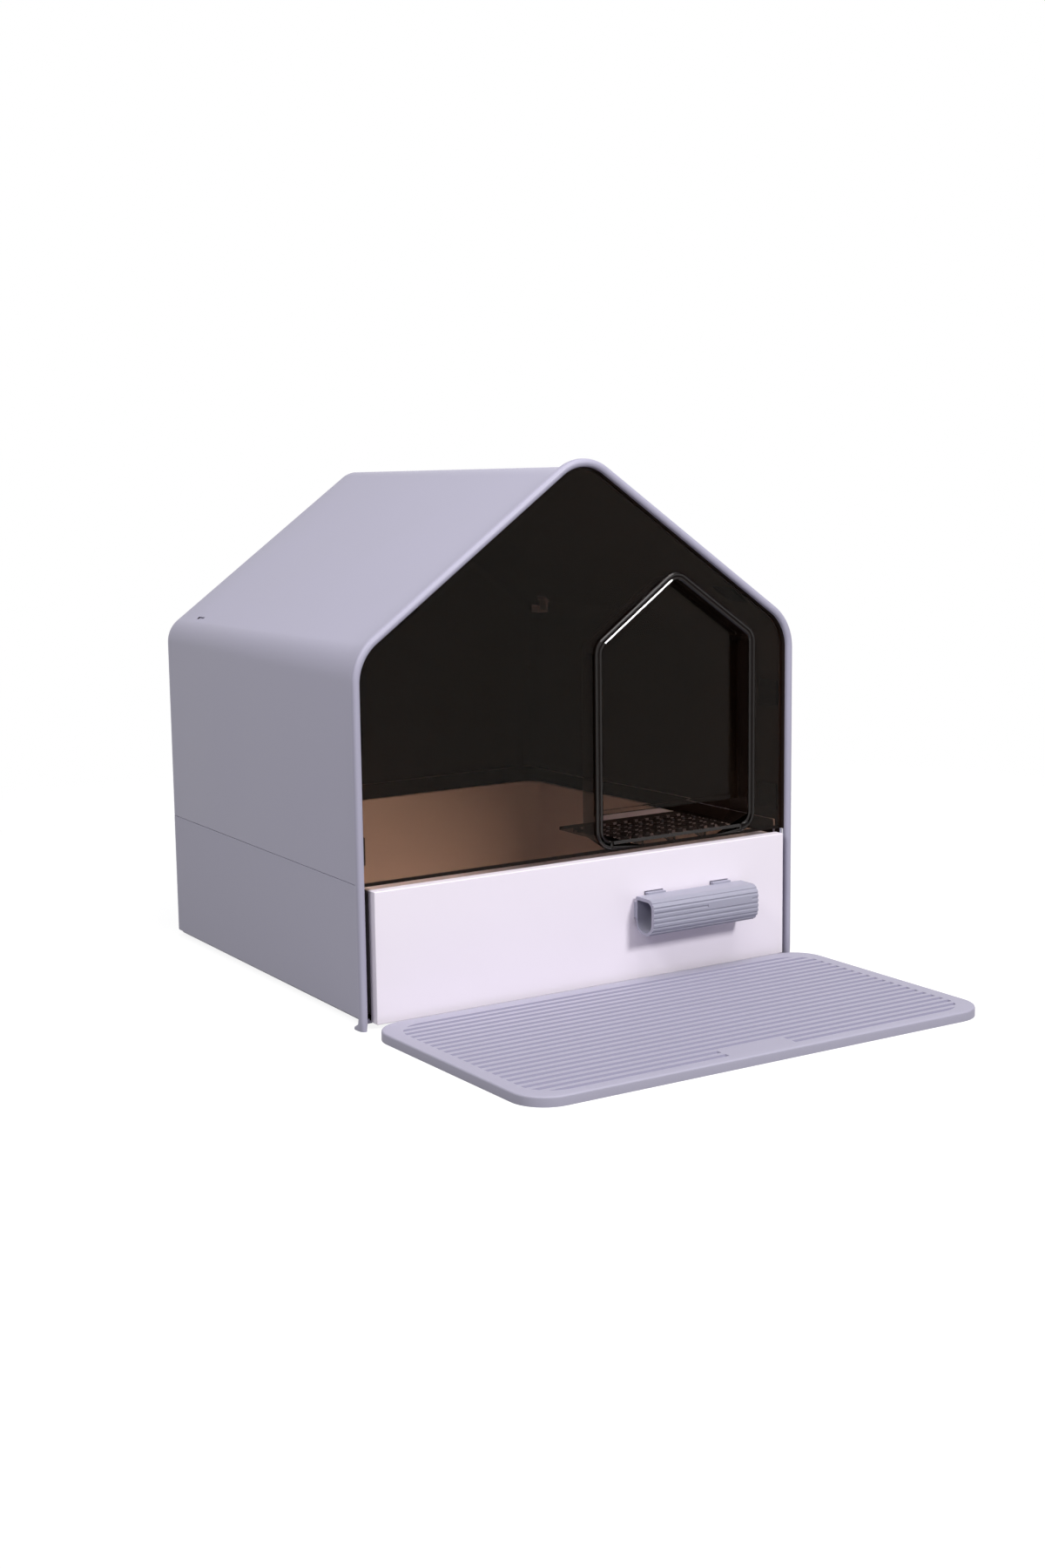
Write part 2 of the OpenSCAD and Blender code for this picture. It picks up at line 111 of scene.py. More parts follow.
class LitterBoxSizes(bpy.types.PropertyGroup):
    edge_radius: length("Edge radius", "Rounding of a moulded edge", 0.8 * MM)
    fine_edge: length("Fine edge radius", "Rounding of an edge on a thin piece", 0.4 * MM)
    bead_chamfer: length("Bead chamfer", "Width of the bright chamfers on the doorway's bead", 1.0 * MM)
    grate_edge: length("Grate radius", "Rounding of the slots in the sill's grate", 0.7 * MM)
    rib_edge: length("Rib radius", "Rounding of the mat's ribs", 0.55 * MM)


class LitterBoxColours(bpy.types.PropertyGroup):
    shell: colour("Shell", "Lilac grey of the hood, frame and base", "#a6a3b6")
    mat: colour("Mat", "Lilac grey of the floor mat", "#a4a1b2")
    # painted shade: a darker grey standing for the shade that falls in the mat's grooves, not a colour of the
    # plastic
    groove: colour("Grooves", "Darker grey in the grooves of the floor mat", "#858297")
    pull: colour("Pull", "Lilac grey of the drawer pull", "#9c9bab")
    drawer: colour("Drawer", "White of the drawer's front", "#f1e9f3")
    tray: colour("Tray", "Off-white of the drawer's tray", "#d6cfd8")
    # painted shade: the inner faces are the same lilac plastic as the outside, drawn near black for the shade
    # inside the hood and the base
    inner: colour("Inner face", "Dark inner face of the hood and the base", "#261e1c")
    smoke: colour("Smoke", "What the window's thickness of smoked plastic lets through", "#bea893")
    thick_smoke: colour("Thick smoke", "What is left of the smoke's colour where it is thick", "#17110f")
    rubber: colour("Rubber", "Dark grey of the foot pads", "#3a3a3c")
    floor: colour("Floor", "Pale floor, before what it adds where it is seen", "#848484")


# ------------------------------------------------------------------ materials

def add(tree, kind, values=None, links=None, **settings):
    """Adds a node, with its settings, its inputs' values and the sockets that feed them."""
    node = tree.nodes.new(kind)
    for key, value in settings.items():
        setattr(node, key, value)
    for key, value in (values or {}).items():
        node.inputs[key].default_value = value
    for key, socket in (links or {}).items():
        tree.links.new(socket, node.inputs[key])
    return node


def new_material(name):
    """An empty node material and its output node."""
    material = bpy.data.materials.get(name) or bpy.data.materials.new(name)
    material.use_nodes = True
    material.node_tree.nodes.clear()
    return material, add(material.node_tree, "ShaderNodeOutputMaterial")


def moulded_plastic(name, base, roughness, grain_mm, grain_depth_mm, mottle=0.03, gloss_level=0.5):
    """Injection-moulded ABS or PP: an even colour, a fine spark-eroded grain and a soft, broad gloss."""
    material, output = new_material(name)
    tree = material.node_tree
    place = add(tree, "ShaderNodeTexCoord").outputs["Object"]
    # flow marks about 60 mm across: a few hundredths lighter and darker
    flow = add(tree, "ShaderNodeTexNoise", {"Scale": 1 / (60 * MM), "Detail": 2.0}, {"Vector": place})
    tint = add(tree, "ShaderNodeMix", data_type="RGBA", links={"Factor": flow.outputs["Fac"]})
    tint.inputs["A"].default_value = (*(c * (1 - mottle) for c in base), 1)
    tint.inputs["B"].default_value = (*(c * (1 + mottle) for c in base), 1)
    # eroded grain, drawn about three times coarser than real so that it shows
    grain = add(tree, "ShaderNodeTexNoise", {"Scale": 1 / (grain_mm * MM), "Detail": 2.0}, {"Vector": place})
    bump = add(tree, "ShaderNodeBump", {"Strength": 0.6, "Distance": grain_depth_mm * MM},
               {"Height": grain.outputs["Fac"]})
    gloss = add(tree, "ShaderNodeMapRange", {"To Min": roughness - 0.04, "To Max": roughness + 0.04},
                {"Value": flow.outputs["Fac"]})
    shader = add(tree, "ShaderNodeBsdfPrincipled", {"IOR": 1.5, "Specular IOR Level": gloss_level},
                 {"Base Color": tint.outputs["Result"], "Roughness": gloss.outputs["Result"],
                  "Normal": bump.outputs["Normal"]})
    tree.links.new(shader.outputs["BSDF"], output.inputs["Surface"])
    return material


def polish(tree):
    """Roughness of polished acrylic, a little softer in faint wipe marks about 40 mm across."""
    place = add(tree, "ShaderNodeTexCoord").outputs["Object"]
    smear = add(tree, "ShaderNodeTexNoise", {"Scale": 1 / (40 * MM), "Detail": 3.0}, {"Vector": place})
    gloss = add(tree, "ShaderNodeMapRange",
                {"From Min": 0.4, "From Max": 0.8, "To Min": 0.02, "To Max": 0.07},
                {"Value": smear.outputs["Fac"]})
    return gloss.outputs["Result"]


def smoked_pane():
    """Polished smoked acrylic sheet: a brown tint over what is behind it, and faint, sharp reflections."""
    material, output = new_material("smoked_acrylic_pane")
    tree = material.node_tree
    tint = tuple(settings().smoke)
    shader = add(tree, "ShaderNodeBsdfPrincipled",
                 {"Base Color": (*tint, 1), "IOR": 1.17, "Transmission Weight": 1.0},
                 {"Roughness": polish(tree)})
    # lamps shine through it, each face with its half of the tint, so that what it encloses is lit
    through = add(tree, "ShaderNodeBsdfTransparent", {"Color": (*(c ** 0.5 for c in tint), 1)})
    ray = add(tree, "ShaderNodeLightPath")
    both = add(tree, "ShaderNodeMixShader", links={0: ray.outputs["Is Shadow Ray"], 1: shader.outputs["BSDF"],
                                                  2: through.outputs["BSDF"]})
    tree.links.new(both.outputs["Shader"], output.inputs["Surface"])
    return material


def smoked_moulding(name, cover, gloss_level):
    """Smoked acrylic that is seen along its length: nearly black, and it hides most of what is behind."""
    material, output = new_material(name)
    tree = material.node_tree
    shader = add(tree, "ShaderNodeBsdfPrincipled",
                 {"Base Color": (*settings().thick_smoke, 1), "IOR": 1.49, "Alpha": cover,
                  "Specular IOR Level": gloss_level}, {"Roughness": polish(tree)})
    tree.links.new(shader.outputs["BSDF"], output.inputs["Surface"])
    return material


def smoked_bead():
    """The bead and every cut edge of the sheet: black, with little gloss on its flat faces."""
    return smoked_moulding("smoked_acrylic_bead", 0.92, 0.05)


def smoked_tunnel():
    """The tunnel's and the grate's thin walls, through which the tray still shows darkly."""
    return smoked_moulding("smoked_acrylic_tunnel", 0.4, 0.12)


def polished_edge():
    """Flame-polished chamfers: bright glints where they mirror a lamp."""
    return smoked_moulding("smoked_acrylic_polished_edge", 0.92, 0.4)


def shell_plastic():
    return moulded_plastic("satin_abs_lilac", settings().shell, 0.46, 0.9, 0.02)


def mat_plastic():
    return moulded_plastic("matte_pp_lilac", settings().mat, 0.6, 1.2, 0.006)


def groove_shade_plastic():
    """The same plastic in the mat's grooves, a little duller, with a darker grey painted in as the shade that
    falls in the grooves.
    """
    return moulded_plastic("matte_pp_lilac_groove_shade", settings().groove, 0.7, 1.2, 0.006)


def pull_plastic():
    return moulded_plastic("satin_abs_pull", settings().pull, 0.42, 0.9, 0.02)


def drawer_plastic():
    return moulded_plastic("gloss_pp_white", settings().drawer, 0.3, 1.2, 0.01, 0.01)


def tray_plastic():
    return moulded_plastic("gloss_pp_off_white", settings().tray, 0.3, 1.2, 0.01, 0.01)


def foot_rubber():
    return moulded_plastic("moulded_rubber", settings().rubber, 0.75, 0.8, 0.04)


# painted shade: the shell's lilac plastic given a near-black colour for the shade inside the hood and the
# base
def inner_shade_plastic():
    return moulded_plastic("matte_abs_inner_face_painted_shade", settings().inner, 0.7, 1.6, 0.0004, 0.05, 0.05)


def settings():
    return bpy.context.scene.litter_box_colours


def sizes():
    return bpy.context.scene.litter_box_sizes


# -------------------------------------------------------------------- helpers

def at(x, y, z):
    """A place in the frame: millimetres right of the middle, behind the rim's face, above the floor."""
    return Vector((x * MM, FACE_Y + y * MM, z * MM))


def flat_face(bm, points, radii, steps):
    """A flat face with rounded corners, made apart from the rest of a bmesh and joined to it."""
    part = bmesh.new()
    verts = [part.verts.new(point) for point in points]
    part.faces.new(verts)
    by_length = {}
    for i, radius in enumerate(radii):
        if radius:
            before, after = points[i - 1] - points[i], points[(i + 1) % len(points)] - points[i]
            by_length.setdefault(round(radius / math.tan(before.angle(after) / 2), 4), []).append(verts[i])
    for tangent, corners in by_length.items():
        bmesh.ops.bevel(part, geom=corners, offset=tangent * MM, offset_type="OFFSET", segments=steps,
                        profile=0.5, affect="VERTICES", material=-1)
    mesh = bpy.data.meshes.new("outline")
    part.to_mesh(mesh)
    part.free()
    count = len(bm.faces)
    bm.from_mesh(mesh)
    bpy.data.meshes.remove(mesh)
    bm.faces.ensure_lookup_table()
    return bm.faces[count]


def sweep(bm, geom, path, radii, steps=10):
    """Carries a profile along a path in X and Z that has round corners; returns its far end."""
    points = [Vector((x, 0, z)) * MM for x, z in path]
    lead = 0
    for i, radius in enumerate((*radii, 0)):
        run = points[i + 1] - points[i]
        way = run.normalized()
        turn = tail = 0
        if radius:
            onward = (points[i + 2] - points[i + 1]).normalized()
            turn = math.atan2(way.x * onward.z - way.z * onward.x, way.dot(onward))
            tail = radius * MM * math.tan(abs(turn) / 2)
        geom = bmesh.ops.spin(bm, geom=geom, dvec=way * (run.length - lead - tail), axis=(0, -1, 0),
                              angle=0, steps=1)["geom_last"]
        if turn:
            left = Vector((-way.z, 0, way.x)) * math.copysign(radius * MM, turn)
            geom = bmesh.ops.spin(bm, geom=geom, cent=points[i + 1] - way * tail + left, axis=(0, -1, 0),
                                  angle=turn, steps=steps)["geom_last"]
        lead = tail
    return geom


def extruded(bm, face, shift):
    """Extrudes one face by a shift; returns the new face."""
    made = bmesh.ops.extrude_face_region(bm, geom=[face])["geom"]
    if face.is_valid:
        bmesh.ops.delete(bm, geom=[face], context="FACES_ONLY")
    end = next(e for e in made if isinstance(e, bmesh.types.BMFace))
    bmesh.ops.translate(bm, verts=end.verts, vec=shift)
    return end


def house_path(low):
    """The shell's outline from its left foot over the ridge to its right foot."""
    return (((-HALF_WIDTH, low), (-HALF_WIDTH, EAVE), (0, RIDGE), (HALF_WIDTH, EAVE), (HALF_WIDTH, low)),
            (40, 35, 40))


def cut(bm, geom, point, normal):
    """Cuts faces along a plane, and returns the edges of the cut."""
    geom = {e for f in geom for e in (f, *f.edges, *f.verts)}
    done = bmesh.ops.bisect_plane(bm, geom=list(geom), dist=0.0005 * MM, plane_co=point, plane_no=normal)
    return [e for e in done["geom_cut"] if isinstance(e, bmesh.types.BMEdge)]


def copy_of(node, cuts=()):
    """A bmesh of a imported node, merged, its flat faces made whole but parted along planes x, y or z."""
    bm = bmesh.new()
    bm.from_mesh(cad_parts[node].data)
    bmesh.ops.remove_doubles(bm, verts=bm.verts, dist=0.005 * MM)
    for face in bm.faces:
        face.material_index = 0
    for axis, value in cuts:
        for edge in cut(bm, bm.faces, at(value, value, value), [axis == letter for letter in "xyz"]):
            edge.seam = True
    bmesh.ops.dissolve_limit(bm, angle_limit=math.radians(0.5), verts=bm.verts, edges=bm.edges,
                             delimit={"NORMAL", "SEAM"})
    return bm


def with_shaded_inside(bm, middle):
    """Gives a shell's inner faces, which look at its middle, the second material, which paints shade on them,
    and the rest the first.
    """
    bm.normal_update()
    for face in bm.faces:
        face.material_index = int(face.normal.dot(middle - face.calc_center_median()) > 0)
    return bm


def dark_edged(bm, *broad, low=0):
    """Gives a sheet's broad faces, which look along given axes, the first material, the rest the second."""
    bm.normal_update()
    for face in bm.faces:
        flat = max(abs(face.normal["xyz".index(axis)]) for axis in broad) > 0.99
        face.material_index = int(not flat or face.calc_center_median().z < low * MM)
    return bm


def piece(bm, name, body, material, stands_for, edge=None, edge_from=SHARP):
    """Makes a bmesh a piece that rides on a body, and rounds its edges from an angle in degrees up."""
    mesh = bpy.data.meshes.new(name)
    bm.to_mesh(mesh)
    bm.free()
    for finish in material if isinstance(material, tuple) else (material,):
        mesh.materials.append(finish)
    for polygon in mesh.polygons:
        polygon.use_smooth = True
    mesh.set_sharp_from_angle(angle=math.radians(SHARP))
    obj = bpy.data.objects.new(name, mesh)
    bpy.context.scene.collection.objects.link(obj)
    if edge:
        bevel = obj.modifiers.new("edges", "BEVEL")
        bevel.width = edge
        bevel.segments = 3
        bevel.limit_method = "ANGLE"
        bevel.angle_limit = math.radians(edge_from)
        bevel.harden_normals = True
    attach(obj, body)
    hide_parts(*stands_for)


def softened(node, body, material, edge, cuts=()):
    """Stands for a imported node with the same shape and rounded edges."""
    piece(copy_of(node, cuts), node + "_skin", body, material, (node,), edge)


# --------------------------------------------------------------------- pieces

def hood_shell():
    """The hood: the section of its wall, with the window's rebate, carried over the ridge; and its back."""
    bm = bmesh.new()

    def wall_line(inset, front, back, radius):
        """Points of a wall's face: straight with the draft, then round the upright back edge."""
        line = [(inset + front * DRAFT, front)]      # inset from the widest section, and depth
        for i in range(5):
            a = math.radians(22.5 * i)
            y = back - radius + radius * math.sin(a)
            line.append((inset + y * DRAFT + radius - radius * math.cos(a), y))
        return line

    outer = wall_line(0, MOUTH, SHELL_DEPTH, BACK_ROUND)
    inner = wall_line(WALL, REBATE[1], SHELL_DEPTH - WALL, BACK_ROUND - WALL)
    section = [*reversed(outer), (REBATE[0], MOUTH), (REBATE[0] + REBATE[1] * DRAFT, REBATE[1]), *inner]
    verts = [bm.verts.new(at(inset - HALF_WIDTH, y, SEAM)) for inset, y in section]
    edges = [bm.edges.new(pair) for pair in zip(verts, verts[1:])]
    path, radii = house_path(SEAM)
    sweep(bm, verts + edges, path, radii)
    open_edges = [e for e in bm.edges if e.is_boundary]
    for depth in (SHELL_DEPTH, SHELL_DEPTH - WALL):
        back = [e for e in open_edges if all(abs(v.co.y - at(0, depth, 0).y) < 0.01 * MM for v in e.verts)]
        ends = [v for v in {v for e in back for v in e.verts} if sum(v in e.verts for e in back) == 1]
        back.append(bm.edges.new(ends))
        bmesh.ops.contextual_create(bm, geom=back)
    bmesh.ops.contextual_create(bm, geom=[e for e in bm.edges if e.is_boundary])
    for side in (-1, 1):
        hook_slot(bm, side)
    bmesh.ops.recalc_face_normals(bm, faces=bm.faces)
    return bm


def hook_slot(bm, side):
    """Cuts a hook's slot through one side of the roof."""
    x, y = SLOT_AT
    down = Vector((side * math.cos(ROOF_ANGLE), 0, -math.sin(ROOF_ANGLE)))
    middle = at(side * x, y, RIDGE - y * DRAFT / math.cos(ROOF_ANGLE) - x * math.tan(ROOF_ANGLE))

    def roof():
        return [f for f in bm.faces if abs(f.normal.dot(down)) < 0.02 and abs(f.normal.y) < 0.1
                and f.calc_center_median().x * side > 0 and abs(f.normal.x) > 0.3]

    def in_slot(face):
        offset = face.calc_center_median() - middle
        return abs(offset.y) < SLOT_SIZE[1] / 2 * MM and abs(offset.dot(down)) < SLOT_SIZE[0] / 2 * MM

    bm.normal_update()
    for end in (-1, 1):
        cut(bm, roof(), middle + Vector((0, end * SLOT_SIZE[1] / 2 * MM, 0)), (0, 1, 0))
    for end in (-1, 1):
        strip = [f for f in roof() if abs(f.calc_center_median().y - middle.y) < SLOT_SIZE[1] / 2 * MM]
        cut(bm, strip, middle + down * end * SLOT_SIZE[0] / 2 * MM, down)
    holes = [f for f in roof() if in_slot(f)]
    rims = [e for f in holes for e in f.edges]
    bmesh.ops.delete(bm, geom=holes, context="FACES_ONLY")
    bmesh.ops.bridge_loops(bm, edges=rims)


def doorway_bead():
    """The doorway's collar: chamfers and a groove on the face of its bead, and a see-through tunnel."""
    bm = copy_of("door_collar", COLLAR_CUTS)
    bm.normal_update()
    chamfer = sizes().bead_chamfer
    front = min(v.co.y for v in bm.verts)

    def face_of_bead():
        return [f for f in bm.faces if f.normal.y < -0.99 and f.calc_center_median().y < front + 0.1 * MM]

    for face in bm.faces:
        face.material_index = int(face.calc_center_median().y > front + BEAD_DEPTH * MM)
    flat = face_of_bead()
    border = [e for e in {e for f in flat for e in f.edges} if sum(f in flat for f in e.link_faces) == 1]
    bright = bmesh.ops.bevel(bm, geom=border, offset=chamfer, offset_type="OFFSET", segments=1, profile=0.5,
                             affect="EDGES", material=-1)["faces"]
    bm.normal_update()
    flat = face_of_bead()
    bmesh.ops.inset_region(bm, faces=flat, thickness=BEAD_LIP * MM, use_even_offset=True)
    slopes = bmesh.ops.inset_region(bm, faces=flat, thickness=chamfer, depth=-chamfer, use_even_offset=True)
    for face in (*bright, *slopes["faces"]):
        face.material_index = 2
    return bm


def rim_bead():
    """The rim: a full-round bead carried from foot to foot, and its two feet."""
    bm = bmesh.new()
    section = ((-RIM_LAP, 0), (RIM, 0), (RIM, RIM), (0, RIM), (0, MOUTH), (-RIM_LAP, MOUTH))
    path, radii = house_path(FOOT[0][0])
    start = flat_face(bm, [at(-HALF_WIDTH - out, y, FOOT[0][0]) for out, y in section],
                      RIM_CORNERS, 5)
    sweep(bm, [start, *start.edges, *start.verts], path, radii, 14)
    bm.normal_update()
    caps = [f for f in bm.faces
            if abs(f.normal.z) > 0.99 and f.calc_center_median().z < (FOOT[0][0] + 0.1) * MM]
    for cap in caps:
        side = math.copysign(1, cap.calc_center_median().x)
        for (z0, deep0, wide0), (z1, deep, wide) in zip(FOOT, FOOT[1:]):
            cap = extruded(bm, cap, (0, 0, (z1 - z0) * MM))
            anchor = at(side * (HALF_WIDTH + FOOT_AIR[0]), 0, z1)
            bmesh.ops.scale(bm, verts=cap.verts, vec=(wide / wide0, deep / deep0, 1),
                            space=Matrix.Translation(-anchor))
    # behind the rim a foot stays outside the shell
    for vert in bm.verts:
        if vert.co.y > at(0, RIM, 0).y and vert.co.z < FOOT[1][0] * MM:
            vert.co.x = math.copysign(max(abs(vert.co.x), (HALF_WIDTH + FOOT_AIR[1]) * MM), vert.co.x)
    bmesh.ops.recalc_face_normals(bm, faces=bm.faces)
    return bm


MAT_SIZE = (227, 11.4, 259, 8.3)             # half width, back edge, front edge, thickness
MAT_FIELD = (214, 26.7, 248.0)               # half width, back edge and front edge of the ribbed field
MAT_ROWS = (29.3, 245.3, 22)                 # middle of the first and last groove, and their number
MAT_GROOVE = (5.4, 1.6, 1.2)                 # width at its top, depth, width of a sloping side
MAT_PLATE = (-38, 28)                        # ends of the blank plate, over the two front grooves
MAT_CORNER, MAT_ROLL = 30, 1.7               # radii of its corners and of its upper edge


def ribbed_mat():
    """The mat: a slab with a rolled upper edge, and a field of soft grooves broken by a blank plate."""
    bm = bmesh.new()

    half, back, front, thick = MAT_SIZE
    corners = ((-half, front), (half, front), (half, back), (-half, back))
    base = flat_face(bm, [at(x, -y, 0) for x, y in corners], (MAT_CORNER,) * 4, 10)
    bmesh.ops.extrude_face_region(bm, geom=[base])
    top = next(f for f in bm.faces if f != base and len(f.verts) == len(base.verts))
    bmesh.ops.translate(bm, verts=top.verts, vec=(0, 0, thick * MM))
    rolled = list(top.edges)
    field = extruded(bm, top, (0, (back + front - MAT_FIELD[1] - MAT_FIELD[2]) / 2 * MM, 0))
    bmesh.ops.scale(bm, verts=field.verts,
                    vec=(MAT_FIELD[0] / half, (MAT_FIELD[2] - MAT_FIELD[1]) / (front - back), 1),
                    space=Matrix.Translation(-at(0, -(MAT_FIELD[1] + MAT_FIELD[2]) / 2, 0)))
    bmesh.ops.bevel(bm, geom=rolled, offset=MAT_ROLL * MM, offset_type="OFFSET", segments=4, profile=0.5,
                    affect="EDGES", material=-1)

    def inside():
        return [f for f in bm.faces if f.calc_center_median().z > (thick - 0.01) * MM
                and all(abs(v.co.x) < (MAT_FIELD[0] + 0.1) * MM
                        and at(0, -MAT_FIELD[2] - 0.1, 0).y < v.co.y < at(0, -MAT_FIELD[1] + 0.1, 0).y
                        for v in f.verts)]

    first, last, count = MAT_ROWS
    step = (last - first) / (count - 1)
    rows = [first + step * i for i in range(count)]
    for row in rows:
        for end in (-1, 1):
            cut(bm, inside(), at(0, -row + end * MAT_GROOVE[0] / 2, 0), (0, 1, 0))

    def in_front(face):
        """Whether a face lies in the two front rows."""
        return face.calc_center_median().y < at(0, -last + 1.5 * step, 0).y

    for x in MAT_PLATE:
        cut(bm, [f for f in inside() if in_front(f)], at(x, 0, 0), (1, 0, 0))

    def is_groove(face):
        middle = face.calc_center_median()
        near = min(abs(middle.y - at(0, -row, 0).y) for row in rows) < MAT_GROOVE[0] / 4 * MM
        return near and not (in_front(face) and MAT_PLATE[0] * MM < middle.x < MAT_PLATE[1] * MM)

    bmesh.ops.recalc_face_normals(bm, faces=bm.faces)
    grooves = [f for f in inside() if is_groove(f)]
    sides = bmesh.ops.inset_individual(bm, faces=grooves, thickness=MAT_GROOVE[2] * MM,
                                       depth=-MAT_GROOVE[1] * MM, use_even_offset=True)["faces"]
    # the grooves and their sloping sides take the second material, the painted shade of the grooves
    for face in (*grooves, *sides):
        face.material_index = 1
    return bm


# ------------------------------------------------------------------ operators

class LITTERBOX_OT_hood(bpy.types.Operator):
    """Dress the hood, its rim and its hooks"""
    bl_idname = "litterbox.hood"
    bl_label = "Hood"

    def execute(self, context):
        plastic = shell_plastic()
        # the hood's inner faces take the near-black painted shade
        piece(with_shaded_inside(hood_shell(), at(0, -20, 230)), "hood_skin", "hood_unit",
              (plastic, inner_shade_plastic()), ("hood",), sizes().fine_edge)
        piece(rim_bead(), "rim_skin", "hood_unit", plastic, ("front_frame",))
        for node in ("left_hook", "right_hook"):
            softened(node, "hood_unit", plastic, sizes().fine_edge)
        return {"FINISHED"}


class LITTERBOX_OT_window(bpy.types.Operator):
    """Dress the window, the doorway and the flap"""
    bl_idname = "litterbox.window"
    bl_label = "Window"

    def execute(self, context):
        pane, bead, tunnel, polished = smoked_pane(), smoked_bead(), smoked_tunnel(), polished_edge()
        body, slot = "hood_unit", "smoked_plastic"
        window = dark_edged(copy_of("front_window", WINDOW_CUTS), "y", low=WINDOW_FOOT)
        piece(window, "front_window_skin", body, (pane, bead), ("front_window",), sizes().fine_edge)
        piece(doorway_bead(), "door_collar_skin", body, (bead, tunnel, polished),
              ("door_collar",), sizes().fine_edge, edge_from=50)
        grate = dark_edged(copy_of("sill_grate", GRATE_CUTS), "x", "z")
        piece(grate, "sill_grate_skin", body, (tunnel, polished), ("sill_grate",), sizes().grate_edge)
        piece(dark_edged(copy_of("door_flap"), "y"), "door_flap_skin", "flap", (pane, bead),
              ("door_flap",), sizes().fine_edge)
        return {"FINISHED"}


class LITTERBOX_OT_base(bpy.types.Operator):
    """Dress the base and its feet"""
    bl_idname = "litterbox.base"
    bl_label = "Base"

    def execute(self, context):
        shell = copy_of("base", BASE_CUTS)
        # the base's inner faces take the near-black painted shade
        piece(with_shaded_inside(shell, at(0, 205, 60)), "base_skin", "base_unit",
              (shell_plastic(), inner_shade_plastic()), ("base",), sizes().fine_edge)
        softened("foot_pads", "base_unit", foot_rubber(), sizes().edge_radius)
        return {"FINISHED"}


class LITTERBOX_OT_drawer(bpy.types.Operator):
    """Dress the drawer and its pull"""
    bl_idname = "litterbox.drawer"
    bl_label = "Drawer"

    def execute(self, context):
        softened("drawer_tray", "drawer", tray_plastic(), sizes().edge_radius, TRAY_CUTS)
        softened("drawer_front", "drawer", drawer_plastic(), sizes().edge_radius,
                 FRONT_CUTS)
        softened("drawer_pull", "drawer", pull_plastic(), sizes().fine_edge, PULL_CUTS)
        return {"FINISHED"}


class LITTERBOX_OT_mat(bpy.types.Operator):
    """Dress the floor mat"""
    bl_idname = "litterbox.mat"
    bl_label = "Mat"

    def execute(self, context):
        piece(ribbed_mat(), "mat_skin", "mat", (mat_plastic(), groove_shade_plastic()),
              ("floor_mat",), sizes().rib_edge)
        return {"FINISHED"}


class LITTERBOX_OT_stage(bpy.types.Operator):
    """Make the floor, the lights and the camera"""
    bl_idname = "litterbox.stage"
    bl_label = "Stage"

    def execute(self, context):
        make_floor()
        make_lights()
        make_camera()
        return {"FINISHED"}


# ---------------------------------------------------------------------- stage

CAMERA_PLACE = (-1.1047, -1.6989, 0.5195)
CAMERA_YAW, CAMERA_PITCH, CAMERA_ROLL = (math.radians(a) for a in (32.6178, -9.6788, 0.7478))
CAMERA_LENS = 53.11                      # mm, on a 36 mm long side
FLOOR_LIFT = 0.88                        # what the floor adds to its own light where it is seen
FLOOR_FADE = (0.7, 1.3)                  # metres from the middle over which the floor fades out
FILL = 0.17                              # the backdrop's light where it isn't seen

# a lamp's place, what it looks at, its size in metres, its watts and its tint
LAMPS = {
    "overhead": ((-0.05, -0.75, 2.6), (0, -0.1, 0.2), (1.8, 1.4), 34, (1.0, 0.98, 1.0)),
    "front": ((0.85, -3.35, 2.35), (0, 0, 0.15), (0.7, 0.7), 103, (1, 1, 1)),
    "left": ((-1.45, -0.6, 1.55), (-0.1, 0, 0.3), (0.5, 0.5), 17, (1, 1, 1)),
}


def seen(tree):
    """1 for a ray that shows a surface, straight or by a mirror or through glass, and 0 for the rest."""
    ray = add(tree, "ShaderNodeLightPath")
    both = add(tree, "ShaderNodeMath", operation="MAXIMUM",
               links={0: ray.outputs["Is Camera Ray"], 1: ray.outputs["Is Glossy Ray"]})
    return add(tree, "ShaderNodeMath", operation="MAXIMUM",
               links={0: both.outputs[0], 1: ray.outputs["Is Transmission Ray"]}).outputs[0]


def make_floor():
    """A pale floor that keeps the shadow, and fades into the white backdrop away from the litter box."""
    material, output = new_material("pale_floor")
    tree = material.node_tree
    matte = add(tree, "ShaderNodeBsdfDiffuse", {"Color": (*settings().floor, 1)})
    lift = add(tree, "ShaderNodeEmission", {"Color": (1, 1, 1, 1), "Strength": FLOOR_LIFT})
    lifted = add(tree, "ShaderNodeAddShader", links={0: matte.outputs[0], 1: lift.outputs[0]})
    clear = add(tree, "ShaderNodeBsdfTransparent")
    near = add(tree, "ShaderNodeMixShader", links={0: seen(tree), 1: matte.outputs[0], 2: lifted.outputs[0]})
    place = add(tree, "ShaderNodeTexCoord").outputs["Object"]
    away = add(tree, "ShaderNodeVectorMath", operation="LENGTH", links={0: place})
    fade = add(tree, "ShaderNodeMapRange", {"From Min": FLOOR_FADE[0], "From Max": FLOOR_FADE[1]},
               {"Value": away.outputs["Value"]}, interpolation_type="SMOOTHSTEP")
    shader = add(tree, "ShaderNodeMixShader",
                 links={0: fade.outputs["Result"], 1: near.outputs[0], 2: clear.outputs[0]})
    tree.links.new(shader.outputs[0], output.inputs["Surface"])
    bm = bmesh.new()
    bmesh.ops.create_circle(bm, cap_ends=True, segments=96, radius=1.4)
    mesh = bpy.data.meshes.new("floor")
    bm.to_mesh(mesh)
    bm.free()
    mesh.materials.append(material)
    floor = bpy.data.objects.new("floor", mesh)
    bpy.context.scene.collection.objects.link(floor)


def area_light(name, place, aim, size, watts, tint):
    lamp = bpy.data.lights.new(name, "AREA")
    lamp.shape = "RECTANGLE"
    lamp.size, lamp.size_y = size
    lamp.energy = watts
    lamp.color = tint
    obj = bpy.data.objects.new(name, lamp)
    bpy.context.scene.collection.objects.link(obj)
    obj.location = place
    obj.rotation_euler = (Vector(aim) - Vector(place)).to_track_quat("-Z", "Y").to_euler()


